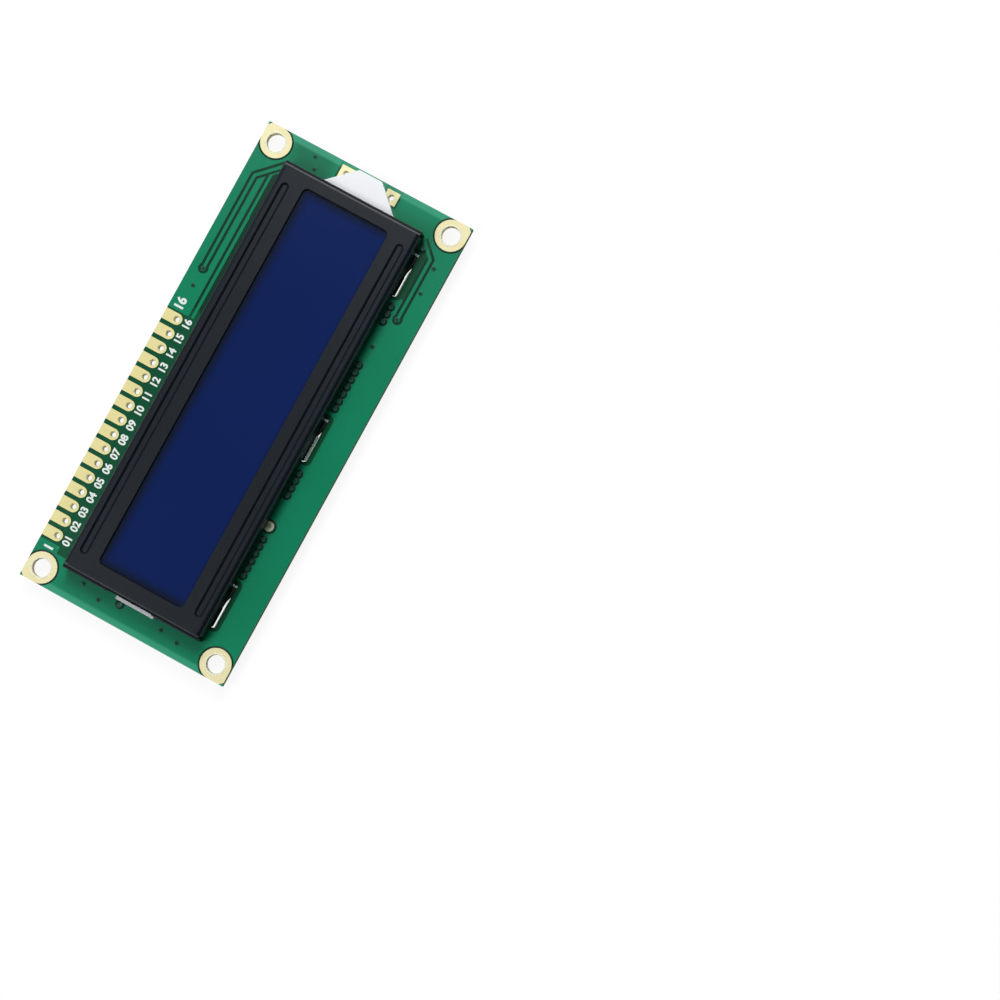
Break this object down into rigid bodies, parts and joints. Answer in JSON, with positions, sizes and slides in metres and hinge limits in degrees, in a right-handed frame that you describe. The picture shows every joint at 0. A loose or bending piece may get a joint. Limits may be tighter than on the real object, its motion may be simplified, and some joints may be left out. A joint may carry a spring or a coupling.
{
  "type": "character LCD module",
  "caption": "Character liquid crystal display module: circuit board with header pads and corner holes, folded black sheet bezel, blue window and edge lamp wedge.",
  "frame": {"origin": "centre of the board in plan, at the level of the six bezel tab tips the part rests on", "axes": "+X along the board from the first header pad, +Y toward the edge with the header pads, +Z out of the display"},
  "size_m": [0.08, 0.036, 0.0074],
  "materials": {
    "board_mask": "glossy green solder mask over glass fibre laminate",
    "gold_foil": "pale gold plate over copper",
    "black_sheet": "satin black paint over folded steel sheet",
    "display_face": "smooth dark blue polariser film",
    "cell_glass": "clear polished",
    "seal": "cured seal",
    "rear_film": "smooth film",
    "white_film": "matt white film",
    "clear_guide": "clear moulded",
    "white_plastic": "satin white moulded",
    "lamp_body": "yellowish white lamp resin",
    "elastomer": "striped grey elastomer",
    "black_resin": "hard black resin",
    "chip_ceramic": "dark ceramic",
    "tinned_end": "tinned"
  },
  "bodies": {
    "root": {"circuit_board": "board_mask", "mounting_pads": "gold_foil", "header_pads": "gold_foil", "lamp_pads": "gold_foil", "ground_pad": "gold_foil", "bezel": "black_sheet", "front_polariser": "display_face", "front_glass": "cell_glass", "cell_seal": "seal", "rear_glass": "cell_glass", "rear_polariser": "rear_film", "diffuser_film": "white_film", "light_guide": "clear_guide", "reflector_film": "white_film", "light_box": "white_plastic", "lamp": "lamp_body", "contact_strip_near": "elastomer", "contact_strip_far": "elastomer", "driver_blob_left": "black_resin", "driver_blob_right": "black_resin", "chip_bodies": "chip_ceramic", "chip_ends": "tinned_end"}
  },
  "joints": []
}
